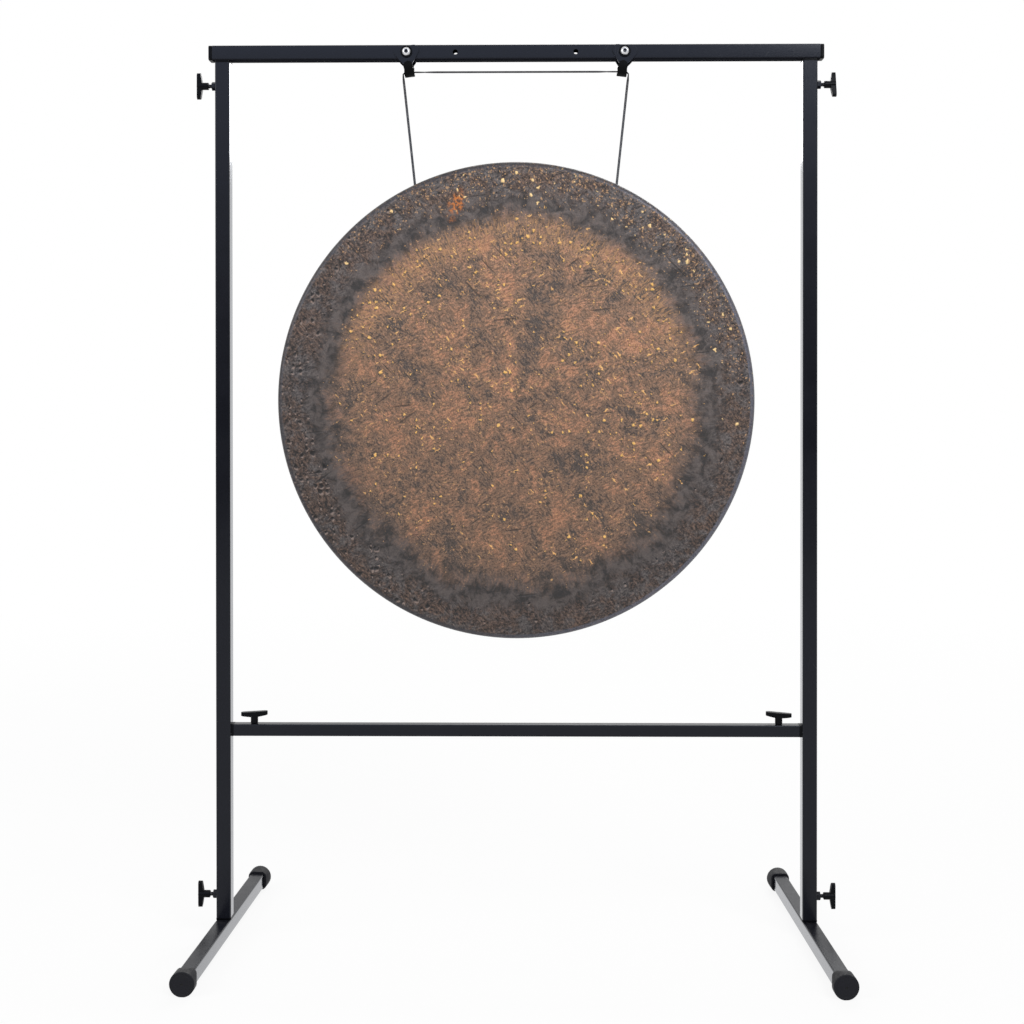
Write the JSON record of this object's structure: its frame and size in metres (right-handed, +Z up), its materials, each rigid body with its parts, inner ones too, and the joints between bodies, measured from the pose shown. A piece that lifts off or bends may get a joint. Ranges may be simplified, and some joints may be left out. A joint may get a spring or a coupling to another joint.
{
  "type": "gong stand",
  "caption": "Free-standing square-tube gong stand with telescoping, wing-bolted top bar and feet, a cross bar, two bolted U hangers, and a large disc gong hung on a cord.",
  "frame": {"origin": "on the floor, below the middle of the stand, half way between the uprights and in their middle plane", "axes": "+Z up, -Y towards the front, where the gong's face and the hanger bolts' heads are, +X to the right seen from the front"},
  "size_m": [1.085, 0.5112, 1.518],
  "materials": {
    "powder_coat": "satin blue-grey powder coat on steel tube",
    "zinc_steel": "bright zinc plate",
    "black_steel": "black oxide, oiled",
    "black_plastic": "matt moulded plastic",
    "rubber": "matt black rubber",
    "cord": "twisted black cord, worn grey",
    "bronze": "dark patinated hammered bronze"
  },
  "bodies": {
    "frame": {"upright_left": "powder_coat", "upright_right": "powder_coat", "upper_bush_left": "black_plastic", "upper_bush_right": "black_plastic", "lower_bush_left": "black_plastic", "lower_bush_right": "black_plastic", "weld_nut_upper_left": "powder_coat", "weld_nut_upper_right": "powder_coat", "weld_nut_lower_left": "powder_coat", "weld_nut_lower_right": "powder_coat", "cross_spigot_left": "powder_coat", "cross_spigot_right": "powder_coat", "spigot_nut_left": "zinc_steel", "spigot_nut_right": "zinc_steel", "cross_bar": "powder_coat", "cross_bush_left": "black_plastic", "cross_bush_right": "black_plastic"},
    "foot_left": {"foot_tube_left": "powder_coat", "foot_leg_left": "powder_coat", "foot_cap_front_left": "rubber", "foot_cap_rear_left": "rubber"},
    "foot_right": {"foot_tube_right": "powder_coat", "foot_leg_right": "powder_coat", "foot_cap_front_right": "rubber", "foot_cap_rear_right": "rubber"},
    "top": {"top_bar": "powder_coat", "top_leg_left": "powder_coat", "top_leg_right": "powder_coat", "end_plug_left": "black_plastic", "end_plug_right": "black_plastic", "hanger_bolt_left": "zinc_steel", "hanger_bolt_right": "zinc_steel", "front_washer_left": "black_plastic", "front_washer_right": "black_plastic", "back_washer_left": "zinc_steel", "back_washer_right": "zinc_steel", "lock_nut_left": "zinc_steel", "lock_nut_right": "zinc_steel", "cord_run": "cord"},
    "hanger_left": {"hanger_strap_left": "powder_coat", "hanger_sleeve_left": "rubber"},
    "hanger_right": {"hanger_strap_right": "powder_coat", "hanger_sleeve_right": "rubber"},
    "hanging_gong": {"gong": "bronze", "cord_drop_left": "cord", "cord_drop_right": "cord", "cord_knot_left": "cord", "cord_knot_right": "cord"},
    "stud_upper_left": {"wing_stud_upper_left": "black_steel"},
    "stud_upper_right": {"wing_stud_upper_right": "black_steel"},
    "stud_lower_left": {"wing_stud_lower_left": "black_steel"},
    "stud_lower_right": {"wing_stud_lower_right": "black_steel"},
    "stud_cross_left": {"wing_stud_cross_left": "black_steel"},
    "stud_cross_right": {"wing_stud_cross_right": "black_steel"},
    "head_upper_left": {"wing_head_upper_left": "black_plastic"},
    "head_upper_right": {"wing_head_upper_right": "black_plastic"},
    "head_lower_left": {"wing_head_lower_left": "black_plastic"},
    "head_lower_right": {"wing_head_lower_right": "black_plastic"},
    "head_cross_left": {"wing_head_cross_left": "black_plastic"},
    "head_cross_right": {"wing_head_cross_right": "black_plastic"}
  },
  "joints": [
    {"name": "foot_left_slide", "type": "slide", "parent": "frame", "child": "foot_left", "axis": [0, 0, -1], "range_m": [0, 0.04]},
    {"name": "foot_right_slide", "type": "slide", "parent": "frame", "child": "foot_right", "axis": [0, 0, -1], "range_m": [0, 0.04]},
    {"name": "top_bar_slide", "type": "slide", "parent": "frame", "child": "top", "axis": [0, 0, 1], "range_m": [0, 0.09]},
    {"name": "gong_swing", "type": "hinge", "parent": "top", "child": "hanging_gong", "pos_m": [0, 0, 1.4739], "axis": [1, 0, 0], "range_deg": [-30, 30]},
    {"name": "hanger_left_pivot", "type": "hinge", "parent": "top", "child": "hanger_left", "pos_m": [-0.1845, 0, 1.5055], "axis": [0, -1, 0], "range_deg": [-7, 5], "deforming": ["cord_run", "cord_drop_left"]},
    {"name": "hanger_right_pivot", "type": "hinge", "parent": "top", "child": "hanger_right", "pos_m": [0.1845, 0, 1.5055], "axis": [0, 1, 0], "range_deg": [-7, 5], "deforming": ["cord_run", "cord_drop_right"]},
    {"name": "stud_upper_left_feed", "type": "slide", "parent": "frame", "child": "stud_upper_left", "axis": [-1, 0, 0], "range_m": [0, 0.00501]},
    {"name": "stud_upper_right_feed", "type": "slide", "parent": "frame", "child": "stud_upper_right", "axis": [1, 0, 0], "range_m": [0, 0.00501]},
    {"name": "stud_lower_left_feed", "type": "slide", "parent": "frame", "child": "stud_lower_left", "axis": [-1, 0, 0], "range_m": [0, 0.00501]},
    {"name": "stud_lower_right_feed", "type": "slide", "parent": "frame", "child": "stud_lower_right", "axis": [1, 0, 0], "range_m": [0, 0.00501]},
    {"name": "stud_cross_left_feed", "type": "slide", "parent": "frame", "child": "stud_cross_left", "axis": [0, 0, 1], "range_m": [0, 0.00501]},
    {"name": "stud_cross_right_feed", "type": "slide", "parent": "frame", "child": "stud_cross_right", "axis": [0, 0, 1], "range_m": [0, 0.00501]},
    {"name": "head_upper_left_turn", "type": "hinge", "parent": "stud_upper_left", "child": "head_upper_left", "pos_m": [-0.51, 0, 1.451], "axis": [-1, 0, 0], "range_deg": [0, 1440]},
    {"name": "head_upper_right_turn", "type": "hinge", "parent": "stud_upper_right", "child": "head_upper_right", "pos_m": [0.51, 0, 1.451], "axis": [1, 0, 0], "range_deg": [0, 1440]},
    {"name": "head_lower_left_turn", "type": "hinge", "parent": "stud_lower_left", "child": "head_lower_left", "pos_m": [-0.51, 0, 0.0729], "axis": [-1, 0, 0], "range_deg": [0, 1440]},
    {"name": "head_lower_right_turn", "type": "hinge", "parent": "stud_lower_right", "child": "head_lower_right", "pos_m": [0.51, 0, 0.0729], "axis": [1, 0, 0], "range_deg": [0, 1440]},
    {"name": "head_cross_left_turn", "type": "hinge", "parent": "stud_cross_left", "child": "head_cross_left", "pos_m": [-0.4466, 0, 0.365], "axis": [0, 0, 1], "range_deg": [0, 1440]},
    {"name": "head_cross_right_turn", "type": "hinge", "parent": "stud_cross_right", "child": "head_cross_right", "pos_m": [0.4466, 0, 0.365], "axis": [0, 0, 1], "range_deg": [0, 1440]}
  ],
  "couplings": [
    {"joint": "stud_upper_left_feed", "follows": "head_upper_left_turn", "m_per_rad": 0.00019894},
    {"joint": "stud_upper_right_feed", "follows": "head_upper_right_turn", "m_per_rad": 0.00019894},
    {"joint": "stud_lower_left_feed", "follows": "head_lower_left_turn", "m_per_rad": 0.00019894},
    {"joint": "stud_lower_right_feed", "follows": "head_lower_right_turn", "m_per_rad": 0.00019894},
    {"joint": "stud_cross_left_feed", "follows": "head_cross_left_turn", "m_per_rad": 0.00019894},
    {"joint": "stud_cross_right_feed", "follows": "head_cross_right_turn", "m_per_rad": 0.00019894}
  ]
}
